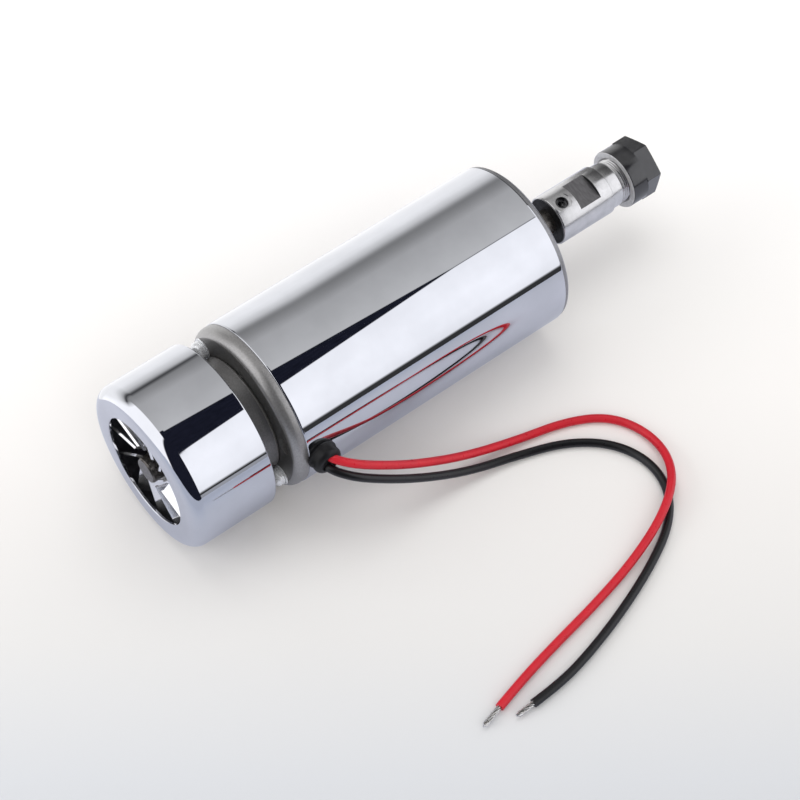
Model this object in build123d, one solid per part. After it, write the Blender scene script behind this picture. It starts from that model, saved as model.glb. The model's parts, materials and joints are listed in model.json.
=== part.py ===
from build123d import *
import math
import os

# Motor spindle, millimetres. +X runs along the spindle axis towards the collet
# nose, +Z is up, and the origin is on the axis at the barrel's front edge.
# Angles are measured about +X from +Y towards +Z.

# ---- driving dimensions ----------------------------------------------------
BARREL_D = 52.0            # barrel, end caps and fan cover
BARREL_LEN = 94.0
BARREL_WALL = 1.8
SHAFT_D = 8.0              # motor shaft at the bearings, the rod and the fan
CORE_SHAFT_D = 10.0        # motor shaft under the armature
ROD_D = 16.0               # collet rod
ROD_X0, ROD_X1 = 15.0, 39.3
THREAD_D, THREAD_PITCH = 14.0, 0.75
NECK_R, SEAM_X = 7.3, 35.2  # rod between its seam and the thread
NUT_D, NUT_AF = 19.0, 17.0
NUT_X0, HEX_X, NUT_X1 = 41.6, 48.3, 53.4
TOOL_D = 3.175             # tool shank the collet takes
FLAT_ANG, ROD_FLAT_AF = 102.5, 13.0
BRG_OD, BRG_ID, BRG_W = 22.0, 8.0, 7.0
COVER_LEN = 26.6
COVER_WALL = 0.9
INLET_R = 17.34
CAP_STEP = 0.2             # end caps stand this much under the barrel's outside
CAP_EXT = 4.5              # rear cap's face behind the barrel
BOSS_LEN = 8.5             # rear boss behind that face
BOLT_D = 3.0
BOLT_INSET = 3.3           # bolt circle inside the barrel's wall
BOLT_ANG = (32.0, -148.0)
AIR_GAP = 0.6              # armature to magnets
SCREW_ANG = (30.0, 120.0, 210.0, 300.0)
BLADES = 12
LEAD_D, TIN_D = 2.6, 1.5
RUN = 0.05                 # radial clearance of running fits

R = BARREL_D / 2
RI = R - BARREL_WALL
CAP_R = R - CAP_STEP
XR = -BARREL_LEN           # barrel's rear edge
FACE_X = XR - CAP_EXT      # rear face of the rear cap
BOSS_X = FACE_X - BOSS_LEN
COVER_X0 = BOSS_X + 1.3
COVER_X1 = COVER_X0 - COVER_LEN
POCKET_R = BRG_OD / 2      # bearing pockets
BOSS_R = POCKET_R + 5.0
SCREW_R = BOSS_R - 2.5     # screws that hold the cover's spider
BOLT_R = RI - BOLT_INSET
CORE_R = BOLT_R - BOLT_D / 2 - 1.0
MAGNET_R = CORE_R + AIR_GAP
REAR_BRG_X = BOSS_X + 3.5

os.makedirs("parts", exist_ok=True)


# ---- helpers ---------------------------------------------------------------
def cyl(r, x0, x1, y=0.0, z=0.0):
    return Pos((x0 + x1) / 2, y, z) * (Rot(0, 90, 0) * Cylinder(r, abs(x1 - x0)))


def ring(ro, ri, x0, x1):
    lo, hi = min(x0, x1), max(x0, x1)
    return cyl(ro, lo, hi) - cyl(ri, lo - 1, hi + 1)


def box(x0, x1, y0, y1, z0, z1):
    return Pos((x0 + x1) / 2, (y0 + y1) / 2, (z0 + z1) / 2) * Box(
        abs(x1 - x0), abs(y1 - y0), abs(z1 - z0))


def ycyl(r, y0, y1, x, z=0.0):
    return Pos(x, (y0 + y1) / 2, z) * (Rot(90, 0, 0) * Cylinder(r, abs(y1 - y0)))


def about(ang, shape):
    return Rot(ang, 0, 0) * shape


def turned(points):
    """Solid of revolution about X from (x, r) points; an item of three
    numbers after a point is (x, r, bulge point) for an arc."""
    edges = []
    n = len(points)
    for i in range(n):
        a, b = points[i], points[(i + 1) % n]
        pa, pb = (a[0], a[1]), (b[0], b[1])
        if len(a) == 4:
            edges.append(ThreePointArc(pa, (a[2], a[3]), pb))
        else:
            edges.append(Line(pa, pb))
    return revolve(make_face(Curve() + edges), axis=Axis.X, revolution_arc=360)


def corner(cx, cr, rad, a0, a1):
    """Start point of an arc about (cx, cr) with its middle point."""
    m = math.radians((a0 + a1) / 2)
    s = math.radians(a0)
    return (cx + rad * math.cos(s), cr + rad * math.sin(s),
            cx + rad * math.cos(m), cr + rad * math.sin(m))


def end_of(cx, cr, rad, a1):
    e = math.radians(a1)
    return (cx + rad * math.cos(e), cr + rad * math.sin(e))


def hexagon(af, x0, x1, ang):
    r = af / math.sqrt(3)
    pts = [(r * math.cos(math.radians(ang + 60 * k)), r * math.sin(math.radians(ang + 60 * k)))
           for k in range(6)]
    f = make_face(Polyline(*pts, close=True))
    pl = Plane(origin=(min(x0, x1), 0, 0), x_dir=(0, 1, 0), z_dir=(1, 0, 0))
    return extrude(pl * f, abs(x1 - x0))


nodes = {}


def save(name, shape):
    shape.label = name
    nodes[name] = shape
    export_step(shape, "parts/" + name + ".step")


# ---- leads: route points, also the control points of the drawn leads --------
RED = [(-90.6, -19.0, 2.0), (-90.58, -28.1, 2.75), (-85.98, -33.68, 1.07),
       (-77.39, -36.36, -4.61), (-65.03, -38.04, -13.17), (-49.4, -40.47, -20.6),
       (-32.36, -43.51, -24.32), (-16.83, -47.08, -24.66), (-5.79, -53.16, -24.64),
       (-0.47, -62.72, -24.6), (-0.71, -73.78, -23.5), (-6.75, -83.74, -21.55),
       (-18.29, -91.1, -21.9), (-33.85, -96.13, -24.2), (-51.05, -99.82, -24.66),
       (-67.49, -102.6, -24.64), (-81.47, -105.3, -24.66), (-92.3, -108.1, -24.64)]
BLACK = [(-91.6, -19.0, -1.1), (-91.84, -29.17, -0.31), (-87.06, -35.49, -2.33),
         (-77.85, -38.95, -8.12), (-65.28, -41.58, -16.02), (-50.53, -44.53, -22.47),
         (-34.86, -47.89, -24.6), (-20.68, -53.12, -24.68), (-10.68, -61.66, -24.64),
         (-6.3, -72.57, -24.68), (-8.2, -83.58, -24.64), (-16.3, -92.86, -24.68),
         (-29.73, -99.94, -24.64), (-45.56, -105.85, -24.68), (-60.97, -110.25, -24.64),
         (-74.09, -112.73, -24.68), (-84.3, -112.9, -24.64)]


def placed(points):
    """The route as it lies for this barrel's length and radius."""
    return [(x + XR + 94.0, y - (R - 26.0), z - (R - 26.0)) for x, y, z in points]


def lead(points, name):
    radii = []
    for i in range(1, len(points) - 1):
        a, b, c = (Vector(*points[k]) for k in (i - 1, i, i + 1))
        u, v = b - a, c - b
        turn = math.radians(u.get_angle(v))
        radii.append(min(0.45 * min(u.length, v.length) / math.tan(turn / 2), 400.0))
    print(name, "bend radii", [round(r, 1) for r in radii], "runs",
          [round((Vector(*points[i + 1]) - Vector(*points[i])).length, 1)
           for i in range(len(points) - 1)])
    path = FilletPolyline(*points, radius=radii)
    start = Plane(origin=path @ 0, z_dir=path % 0)
    tube = sweep(start * Circle(LEAD_D / 2), path=path)
    want = math.pi * LEAD_D ** 2 / 4 * path.length
    print(name, "length", round(path.length, 2), "volume ratio", round(tube.volume / want, 4))
    return tube, path


def tinned(points, length):
    a, b = Vector(*points[-2]), Vector(*points[-1])
    d = (b - a).normalized()
    pl = Plane(origin=b, z_dir=d)
    stub = extrude(pl * Circle(TIN_D / 2), length)
    return stub


# ---- barrel ------------------------------------------------------------------
GROM = (XR + 4.0, 0.8 - (R - 26.0))   # grommet centre: x and height
tube = ring(R, RI, XR, 0)
tube -= ycyl(3.6, -R - 2, -RI + 3, *GROM)
save("motor_tube", tube)

# ---- front cap -----------------------------------------------------------------
pr = POCKET_R
fc = turned([(-8, RI), (0, RI), (0, CAP_R), (1.25, CAP_R), (1.8, CAP_R - 0.55), (1.8, pr + 3.0),
             (2.3, pr + 2.4), (4.4, pr + 2.0), (4.4, 6.3), (0.8, 6.3), (0.8, pr), (-7.5, pr),
             (-7.5, pr + 2.5), (-2.5, pr + 2.5), (-2.5, RI - 4.2), (-8, RI - 4.2)])
for a in BOLT_ANG:
    fc -= about(a, cyl(BOLT_D / 2, -9, 0.6, y=BOLT_R))
save("front_cap", fc)

# ---- rear cap --------------------------------------------------------------------
sh = (FACE_X + 3.0, CAP_R - 3.0, 3.0)
rc = turned([(XR + 6, RI), (XR, RI), (XR, CAP_R), corner(*sh, 90, 180), end_of(*sh, 180),
             (FACE_X, BOSS_R + 0.9), (FACE_X - 0.8, BOSS_R + 0.1), (BOSS_X, BOSS_R - 0.3),
             (BOSS_X, 5.5), (BOSS_X + 2.7, 5.5), (BOSS_X + 2.7, pr), (FACE_X + 3.0, pr),
             (FACE_X + 3.0, RI - 4.2), (XR + 6, RI - 4.2)])
rc -= box(XR, XR + 7, -RI - 1, -RI + 6.2, GROM[1] - 6.0, GROM[1] + 5.6)
for a in BOLT_ANG:
    rc -= about(a, cyl(BOLT_D / 2, FACE_X - 1.5, XR + 7, y=BOLT_R))
    rc -= about(a, cyl(3.4, FACE_X - 1.5, FACE_X + 0.01, y=BOLT_R))
for a in (165.0, -15.0):
    slot = cyl(1.6, FACE_X - 0.5, XR, y=BOLT_R, z=1.3) \
        + cyl(1.6, FACE_X - 0.5, XR, y=BOLT_R, z=-1.3) \
        + box(FACE_X - 0.5, XR, BOLT_R - 1.6, BOLT_R + 1.6, -1.3, 1.3)
    rc -= about(a, slot)
for a in (93.0, -87.0):
    rc -= about(a, cyl(1.05, FACE_X - 0.5, XR, y=BOLT_R - 2.3))
for a in SCREW_ANG:
    rc -= about(a, cyl(1.5, BOSS_X - 1, BOSS_X + 6, y=SCREW_R))
save("rear_cap", rc)

# ---- tie bolts, washers -------------------------------------------------------------
bolts, flats, springs = [], [], []
for a in BOLT_ANG:
    hx, wx, br = FACE_X - 1.3, FACE_X - 0.5, BOLT_D / 2
    head = cyl(br + 1.45, hx - 2.3, hx, y=BOLT_R)
    head = fillet(head.edges().sort_by(Axis.X)[0], 1.1)
    head -= box(hx - 3, hx - 1.3, BOLT_R - 1.4, BOLT_R + 1.4, -0.3, 0.3)
    head -= box(hx - 3, hx - 1.3, BOLT_R - 0.3, BOLT_R + 0.3, -1.4, 1.4)
    bolts.append(about(a, head + cyl(br, hx, 0.6, y=BOLT_R)))
    flats.append(about(a, cyl(br + 1.8, wx, FACE_X, y=BOLT_R) - cyl(br, wx - 1, FACE_X + 1, y=BOLT_R)))
    sw = cyl(br + 1.35, hx, wx, y=BOLT_R) - cyl(br, hx - 1, wx + 1, y=BOLT_R)
    sw -= box(hx - 1, wx + 1, BOLT_R + 1, BOLT_R + 4, -0.2, 0.2)
    springs.append(about(a, sw))
for i, side in enumerate(("upper", "lower")):
    save("tie_bolt_" + side, bolts[i])
    save("flat_washer_" + side, flats[i])
    save("spring_washer_" + side, springs[i])

# ---- fan cover and the spider that carries it -------------------------------------
ro, ri = R, R - COVER_WALL
cx = COVER_X0 - 1.6
c2 = (COVER_X1 + 4.0, R - 4.0, 4.0)
cover = turned([
    (COVER_X0 - COVER_WALL, R - 1.6), corner(cx, R - 1.6, 1.6, 0, 90),
    (cx, R), corner(*c2, 90, 180), (COVER_X1, R - 4.0), (COVER_X1, INLET_R),
    (COVER_X1 + COVER_WALL, INLET_R),
    corner(*c2[:2], 4.0 - COVER_WALL, 180, 90), (c2[0], ri),
    corner(cx, R - 1.6, 1.6 - COVER_WALL, 90, 0)])
save("fan_cover", cover)

sx = BOSS_X - 1.2          # rear side of the spider's plate
spider = ring(BOSS_R - 0.5, 6.0, sx, BOSS_X)
foot = make_face(Polyline((BOSS_X, SCREW_R), (BOSS_X, ri - 0.9), (BOSS_X - 0.9, ri),
                          (BOSS_X - 6.0, ri), (BOSS_X - 6.0, ri - 1.2), (sx, ri - 1.2),
                          (sx, SCREW_R), close=True))
for a in (-15.0, 75.0, 165.0, 255.0):
    spider += about(a - 10, revolve(foot, axis=Axis.X, revolution_arc=20))
for a in SCREW_ANG:
    spider -= about(a, cyl(1.5, sx - 1, BOSS_X + 1, y=SCREW_R))
save("cover_spider", spider)
for k, a in enumerate(SCREW_ANG):
    s = cyl(1.5, sx, BOSS_X + 5.5, y=SCREW_R)
    h = cyl(2.6, sx - 1.8, sx, y=SCREW_R)
    h = fillet(h.edges().sort_by(Axis.X)[0], 0.8)
    save("spider_screw_%d" % (k + 1), about(a, s + h))

# ---- magnets -----------------------------------------------------------------------
for name, a in (("magnet_upper", 122.0), ("magnet_lower", -58.0)):
    arc = ring(RI, MAGNET_R, XR + 16, -22)
    wedge_pts = [(0, 0)] + [(60 * math.cos(math.radians(t)), 60 * math.sin(math.radians(t)))
                            for t in (-56, -20, 20, 56)]
    pl = Plane(origin=(XR + 15, 0, 0), x_dir=(0, 1, 0), z_dir=(1, 0, 0))
    w = extrude(pl * make_face(Polyline(*wedge_pts, close=True)), BARREL_LEN)
    save(name, about(a, arc & w))

# ---- bearings ------------------------------------------------------------------------
def bearing(tag, x0):
    xm = x0 + BRG_W / 2
    ball_r, pitch_r, n = 1.985, (BRG_OD + BRG_ID) / 4 + 0.1, 7
    track = Pos(xm, 0, 0) * (Rot(0, 90, 0) * Torus(pitch_r, 2.02))
    outer = ring(BRG_OD / 2, BRG_OD / 2 - 1.8, x0, x0 + BRG_W) - track
    inner = ring(BRG_ID / 2 + 2.0, BRG_ID / 2, x0, x0 + BRG_W) - track
    cage = ring(pitch_r + 0.6, pitch_r - 0.6, xm - 2.4, xm + 2.4)
    balls = []
    for k in range(n):
        b = about(360 / n * k, Pos(xm, pitch_r, 0) * Sphere(ball_r))
        cage -= b
        balls.append(b)
    save(tag + "_bearing_outer", outer)
    save(tag + "_bearing_inner", inner)
    save(tag + "_bearing_cage", cage)
    save(tag + "_bearing_balls", Compound(children=balls))


bearing("front", -7.0)
bearing("rear", REAR_BRG_X)
save("wave_washer", ring(POCKET_R - 0.2, POCKET_R - 2.4, BOSS_X + 2.7, REAR_BRG_X))
save("front_shim", ring(POCKET_R - 0.2, POCKET_R - 2.4, 0.0, 0.8))

# ---- rotor -----------------------------------------------------------------------------
rs = SHAFT_D / 2
se, fx = COVER_X1 + 0.6, COVER_X1 + 12.8   # shaft's rear end, fan screw
shaft = cyl(CORE_SHAFT_D / 2, REAR_BRG_X + BRG_W, -7.0) + cyl(rs, se, 33.5)
shaft -= turned([(se - 0.3, rs - 0.5), (se + 0.5, rs), (se + 0.5, rs + 1), (se - 0.3, rs + 1)])
shaft -= about(FLAT_ANG, box(16.4, 20.8, rs - 0.4, rs + 1, -3, 3))
shaft -= about(FLAT_ANG - 90, box(16.4, 20.8, rs - 0.4, rs + 1, -3, 3))
shaft -= about(90, box(fx - 2.1, fx + 2.1, rs - 0.4, rs + 1, -3, 3))
save("motor_shaft", shaft)

cb0, s0, s1 = XR + 22, CORE_R - 7.4, CORE_R - 1.6   # core's rear end, slots' floor and roof
core = ring(CORE_R, CORE_SHAFT_D / 2, cb0, -28)
wind = ring(CORE_R - 1.4, 8.5, -28, -21.5) + ring(CORE_R - 1.4, 8.5, cb0 - 5, cb0)
for k in range(12):
    slot = box(cb0 - 1, -27, s0, s1, -1.5, 1.5)
    core -= about(30 * k, slot)
    core -= about(30 * k, box(cb0 - 1, -27, s1 - 0.8, CORE_R + 0.6, -0.6, 0.6))
    wind += about(30 * k, box(cb0, -28, s0, s1, -1.5, 1.5))
save("armature_core", core)
save("windings", wind)
comm = ring(9.5, CORE_SHAFT_D / 2, XR + 7, XR + 15)
for k in range(12):
    comm -= about(30 * k + 15, box(XR + 6, XR + 16, 8.9, 10, -0.25, 0.25))
save("commutator", comm)

# ---- brushes -----------------------------------------------------------------------------
px = XR + 7.5              # front side of the brush plate
bo, bi = RI - 1.4, RI - 2.2   # brush boxes' outer end and its inside
plate = ring(RI, 10.8, px - 1.5, px)
plate -= box(px - 3, px + 1, -RI - 1, -RI + 8.2, GROM[1] - 6.0, GROM[1] + 5.6)
for a in BOLT_ANG:
    plate -= about(a, cyl(BOLT_D / 2 + 0.4, px - 3, px + 1, y=BOLT_R))
save("brush_plate", plate)
for name, s in (("top", 1), ("bottom", -1)):
    b = box(px, px + 7, -4.2, 4.2, s * 10.6, s * bo)
    b -= box(px + 1, px + 6, -3.15, 3.15, s * 9.0, s * bi)
    save("brush_box_" + name, b)
    br = box(px + 1.05, px + 5.95, -3.1, 3.1, s * 9.0, s * (bi - 5.5))
    br -= cyl(9.55, px - 3, px + 12)
    save("brush_" + name, br)
    hel = Helix(pitch=1.26, height=5.5 - 0.46, radius=1.9)
    wire = sweep(Plane(origin=hel @ 0, z_dir=hel % 0) * Circle(0.22), path=hel)
    coil = Pos(px + 3.5, 0, bi - 5.5 + 0.23) * wire
    save("brush_spring_" + name, coil if s > 0 else Rot(180, 0, 0) * coil)

# ---- fan --------------------------------------------------------------------------------
hr = rs + 2.75             # hub's radius
fan0, fan1, tip = COVER_X1 + 6.3, COVER_X1 + 20.3, ri - 1.8
hub = ring(hr, rs, fan0 - 1.0, fan1 + 0.5)
hub -= Pos(fx, 0, rs + 1.4) * Cylinder(1.25, 4.0)
hub -= turned([(fan0 - 1.5, hr - 0.75), (fan0 - 0.6, hr + 0.15), (fan0 - 1.5, hr + 0.15)])
save("fan_hub", hub)
save("fan_set_screw", (Pos(fx, 0, rs + 0.95) * Cylinder(1.25, 2.7)) - Pos(fx, 0, rs + 2.0) * Cylinder(0.6, 1.6))
fan = ring(hr + 0.85, hr, fan0, fan1) - Pos(fx, 0, hr) * Cylinder(1.6, 4.0)
for k in range(BLADES):
    blade = Pos((fan0 + fan1) / 2, (tip + hr) / 2, 0) * (Rot(0, 24, 0) * Box(12.6, tip - hr + 1, 0.8))
    fan += about(360 / BLADES * k + 15, blade & ring(tip, hr + 0.45, fan0, fan1))
save("fan", fan)

# ---- collet rod ----------------------------------------------------------------------------
rr = ROD_D / 2
tm = THREAD_D / 2
taper0, taper1 = 3.98, 5.79
rod = turned([(ROD_X0, rs), (ROD_X0, rr - 0.5), (ROD_X0 + 0.5, rr), (SEAM_X - 0.35, rr),
              (SEAM_X, rr - 0.35), (SEAM_X, NECK_R), (ROD_X1 - 0.25, NECK_R),
              (ROD_X1, NECK_R - 0.25), (ROD_X1, tm - 0.55), (ROD_X1 + 0.4, tm - 0.55),
              (ROD_X1 + 0.6, tm), (49.2, tm), (49.6, tm - 0.4),
              (49.6, taper1), (36.7, taper0), (36.7, rs), ])
for k in range(3):
    x = ROD_X1 + 0.85 + THREAD_PITCH * k
    rod -= turned([(x, tm + 0.1), (x + 0.25, tm - 0.3), (x + 0.5, tm + 0.1)])
for s in (0, 180):
    rod -= about(FLAT_ANG + s, box(22.9, 30.7, ROD_FLAT_AF / 2, rr + 1, -8, 8))
for a in (FLAT_ANG, FLAT_ANG - 90):
    rod -= about(a, ycyl(3.1, 7.35, rr + 1, 18.7))
    rod -= about(a, ycyl(2.0, 3.0, rr + 1, 18.7))
save("collet_rod", rod)
for k, a in enumerate((FLAT_ANG, FLAT_ANG - 90)):
    g = ycyl(2.0, rs - 0.4, 6.7, 18.7)
    pl = Plane(origin=(18.7, 6.7, 0), z_dir=(0, -1, 0))
    g -= extrude(pl * RegularPolygon(1.0, 6, major_radius=False), 1.6)
    save("grub_screw_%d" % (k + 1), about(a, g))

# ---- collet and nut ----------------------------------------------------------------------
def t_r(x, gap=0.0):
    return taper0 + (taper1 - taper0) * (x - 36.7) / (49.6 - 36.7) - gap


cb = TOOL_D / 2
col = turned([(36.9, cb), (36.9, t_r(36.9, 0.02)), (49.3, t_r(49.3, 0.02)), (49.3, 4.75), (50.5, 4.75),
              (50.5, 5.5), (50.9, 5.5), (52.3, 4.7), (52.3, cb + 0.3), (52.0, cb)])
for k in range(4):
    col -= about(90 * k + 10, box(40.0, 53, 0, 8, -0.2, 0.2))
    col -= about(90 * k + 55, box(36, 48.5, 0, 8, -0.2, 0.2))
save("collet", col)

ng = 0.06
nr, na = NUT_D / 2, NUT_AF / 2
nut = turned([(NUT_X0, tm + ng), (NUT_X0, nr - 0.3), (NUT_X0 + 0.35, nr), (HEX_X - 0.95, nr),
              (HEX_X, na), (HEX_X, tm + ng)])
nut += hexagon(NUT_AF, HEX_X - 0.9, NUT_X1, 38.0) & turned([
    (HEX_X - 0.9, tm + ng), (HEX_X - 0.9, nr + 0.4), (NUT_X1 - 0.75, nr + 0.4), (NUT_X1, na),
    (NUT_X1, 6.4), (NUT_X1 - 1.0, 5.7), (51.2, 5.6), (50.4, 5.6), (50.4, 4.85), (49.75, 4.85),
    (49.75, tm + ng)])
nut -= turned([(NUT_X0 - 0.1, tm + ng + 0.6), (NUT_X0 + 0.5, tm + ng - 0.01), (NUT_X0 - 0.1, tm + ng - 0.01)])
save("collet_nut", nut)

# ---- leads and grommet ------------------------------------------------------------------------
red, red_path = lead(placed(RED), "red_lead")
black, black_path = lead(placed(BLACK), "black_lead")
gx, gz = GROM
grom = ycyl(4.75, -R - 4.2, -RI, gx, gz)
grom = fillet(grom.edges().filter_by(GeomType.CIRCLE).sort_by(Axis.Y)[0], 1.4)
grom -= cyl(R, XR - 20, 10)
grom += ycyl(3.6, -R - 0.3, -RI + 0.5, gx, gz) & (ring(R + 3, RI, XR - 20, 10))
grom += ycyl(4.7, -RI - 0.5, -RI + 2.7, gx, gz) & cyl(RI, XR + 0.05, 10)
grom = grom - red - black
save("grommet", grom)
save("red_lead", red)
save("black_lead", black)
save("red_tinned_end", tinned(placed(RED), 7.0))
save("black_tinned_end", tinned(placed(BLACK), 6.2))

print(len(nodes), "nodes")
for n, s in nodes.items():
    b = s.bounding_box()
    print("%-22s solids %d  vol %.1f  x %.2f..%.2f  y %.2f..%.2f  z %.2f..%.2f" % (
        n, len(s.solids()), s.volume, b.min.X, b.max.X, b.min.Y, b.max.Y, b.min.Z, b.max.Z))
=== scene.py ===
"""Motor spindle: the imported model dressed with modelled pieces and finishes.

Every size is in millimetres until MM turns it into metres. +X runs along the
spindle axis towards the collet nose, +Z is up, and the axis is at y = z = 0.
"""
import json
from math import cos, hypot, pi, radians, sin, sqrt, tau

import bmesh
import bpy
from mathutils import Matrix, Vector


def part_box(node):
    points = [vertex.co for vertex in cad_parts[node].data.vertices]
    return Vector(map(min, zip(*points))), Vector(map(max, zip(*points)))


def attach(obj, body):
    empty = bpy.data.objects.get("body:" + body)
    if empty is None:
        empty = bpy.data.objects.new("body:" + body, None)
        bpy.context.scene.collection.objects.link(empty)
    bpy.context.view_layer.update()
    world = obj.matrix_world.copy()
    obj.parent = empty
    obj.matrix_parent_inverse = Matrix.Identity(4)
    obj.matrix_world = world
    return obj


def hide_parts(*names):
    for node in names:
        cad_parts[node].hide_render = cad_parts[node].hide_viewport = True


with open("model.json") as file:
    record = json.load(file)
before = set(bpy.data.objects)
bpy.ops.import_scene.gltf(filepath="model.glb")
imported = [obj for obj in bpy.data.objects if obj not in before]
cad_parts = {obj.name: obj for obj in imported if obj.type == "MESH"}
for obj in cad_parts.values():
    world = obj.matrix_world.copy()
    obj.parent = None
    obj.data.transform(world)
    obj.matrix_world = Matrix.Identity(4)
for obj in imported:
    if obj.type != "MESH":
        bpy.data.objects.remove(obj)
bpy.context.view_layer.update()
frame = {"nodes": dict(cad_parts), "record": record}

bl_info = {
    "name": "Motor spindle",
    "version": (1, 0, 0),
    "blender": (4, 5, 0),
    "location": "View3D > Sidebar > Spindle",
    "description": "Builds a brushed motor spindle with its fan cover, collet rod and leads",
    "category": "Object",
}

MM = 0.001
NODES = frame["nodes"]


def node_low(node, axis):
    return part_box(node)[0][axis] / MM


def node_high(node, axis):
    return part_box(node)[1][axis] / MM


# ---- routes of the two leads, from the barrel outwards ---------------
RED_ROUTE = [(-90.6, -19.0, 2.0), (-90.58, -28.1, 2.75), (-85.98, -33.68, 1.07),
             (-77.39, -36.36, -4.61), (-65.03, -38.04, -13.17), (-49.4, -40.47, -20.6),
             (-32.36, -43.51, -24.32), (-16.83, -47.08, -24.66), (-5.79, -53.16, -24.64),
             (-0.47, -62.72, -24.6), (-0.71, -73.78, -23.5), (-6.75, -83.74, -21.55),
             (-18.29, -91.1, -21.9), (-33.85, -96.13, -24.2), (-51.05, -99.82, -24.66),
             (-67.49, -102.6, -24.64), (-81.47, -105.3, -24.66), (-92.3, -108.1, -24.64)]
BLACK_ROUTE = [(-91.6, -19.0, -1.1), (-91.84, -29.17, -0.31), (-87.06, -35.49, -2.33),
               (-77.85, -38.95, -8.12), (-65.28, -41.58, -16.02), (-50.53, -44.53, -22.47),
               (-34.86, -47.89, -24.6), (-20.68, -53.12, -24.68), (-10.68, -61.66, -24.64),
               (-6.3, -72.57, -24.68), (-8.2, -83.58, -24.64), (-16.3, -92.86, -24.68),
               (-29.73, -99.94, -24.64), (-45.56, -105.85, -24.68), (-60.97, -110.25, -24.64),
               (-74.09, -112.73, -24.68), (-84.3, -112.9, -24.64)]


# ---- sizes and colours that a user would change ----------------------
def length(name, description, value):
    return bpy.props.FloatProperty(name=name, description=description, default=value * MM,
                                   unit="LENGTH", precision=5)


def colour(name, description, value):
    return bpy.props.FloatVectorProperty(name=name, description=description, default=value,
                                         size=3, subtype="COLOR", min=0.0, max=1.0)


class SpindleSizes(bpy.types.PropertyGroup):
    barrel_radius: length("Barrel radius", "Outside of the barrel and the fan cover",
                          node_high("motor_tube", 2))
    barrel_wall: length("Barrel wall", "Thickness of the barrel's tube", 1.8)
    edge_radius: length("Edge radius", "Rounding of the barrel's cut edges", 0.25)
    cover_corner: length("Cover corner", "Rounding between the fan cover's side and back", 4.0)
    cover_curl: length("Cover curl", "Rounding of the fan cover's open edge", 1.6)
    cover_wall: length("Cover wall", "Thickness of the fan cover's sheet", 0.9)
    inlet_radius: length("Inlet radius", "Round opening in the fan cover's back", 17.34)
    nut_across_flats: length("Nut across flats", "Spanner size of the collet nut", 17.0)
    lead_diameter: length("Lead diameter", "Outside of each lead's insulation", 2.6)
    strand_diameter: length("Strand diameter", "One strand of a lead's bare end", 0.52)


class SpindleColours(bpy.types.PropertyGroup):
    chrome: colour("Chrome", "Plating of the barrel and the fan cover", (0.61, 0.62, 0.65))
    casting: colour("Casting", "Grey cast end caps", (0.27, 0.265, 0.262))
    ground: colour("Ground steel", "Collet rod and shaft", (0.60, 0.595, 0.595))
    oxide: colour("Black oxide", "Collet nut and grub screws", (0.012, 0.012, 0.014))
    red: colour("Red insulation", "Insulation of the red lead", (0.56, 0.011, 0.024))
    black: colour("Black insulation", "Insulation of the black lead", (0.006, 0.006, 0.007))


# ---- materials -------------------------------------------------------
MATERIALS = {}


class Tree:
    """A node tree, with the helpers that the finishes, the floor and the studio share."""

    def __init__(self, tree):
        self.nodes, self.links = tree.nodes, tree.links

    def feed(self, socket, value):
        """Sets a socket to a value, or links it to another node's output."""
        if isinstance(value, bpy.types.NodeSocket):
            self.links.new(value, socket)
        elif value is not None:
            socket.default_value = value

    def add(self, kind, **inputs):
        node = self.nodes.new("ShaderNode" + kind)
        for name, value in inputs.items():
            self.feed(node.inputs[name.replace("_", " ")], value)
        return node

    def maths(self, operation, first, second=None, third=None, clamp=False):
        node = self.add("Math")
        node.operation = operation
        node.use_clamp = clamp
        for socket, value in zip(node.inputs, (first, second, third)):
            self.feed(socket, value)
        return node.outputs[0]

    def ramp(self, factor, stops):
        """A colour ramp through stops of a position and a colour."""
        node = self.add("ValToRGB", Fac=factor)
        elements = node.color_ramp.elements
        while len(elements) < len(stops):
            elements.new(0.5)
        for element, (position, base) in zip(elements, stops):
            element.position = position
            element.color = (*base, 1.0)
        return node.outputs["Color"]

    def mix(self, factor, first, second, blend="MIX"):
        """A mix of two colours, each a value or the output of another node."""
        node = self.add("Mix")
        node.data_type, node.blend_type = "RGBA", blend
        for name, value in (("Factor", factor), ("A", first), ("B", second)):
            self.feed(node.inputs[name], (*value, 1.0) if isinstance(value, tuple) else value)
        return node.outputs["Result"]

    def mix_shaders(self, factor, first, second):
        node = self.add("MixShader")
        for socket, value in zip(node.inputs, (factor, first, second)):
            self.feed(socket, value)
        return node.outputs[0]


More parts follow.
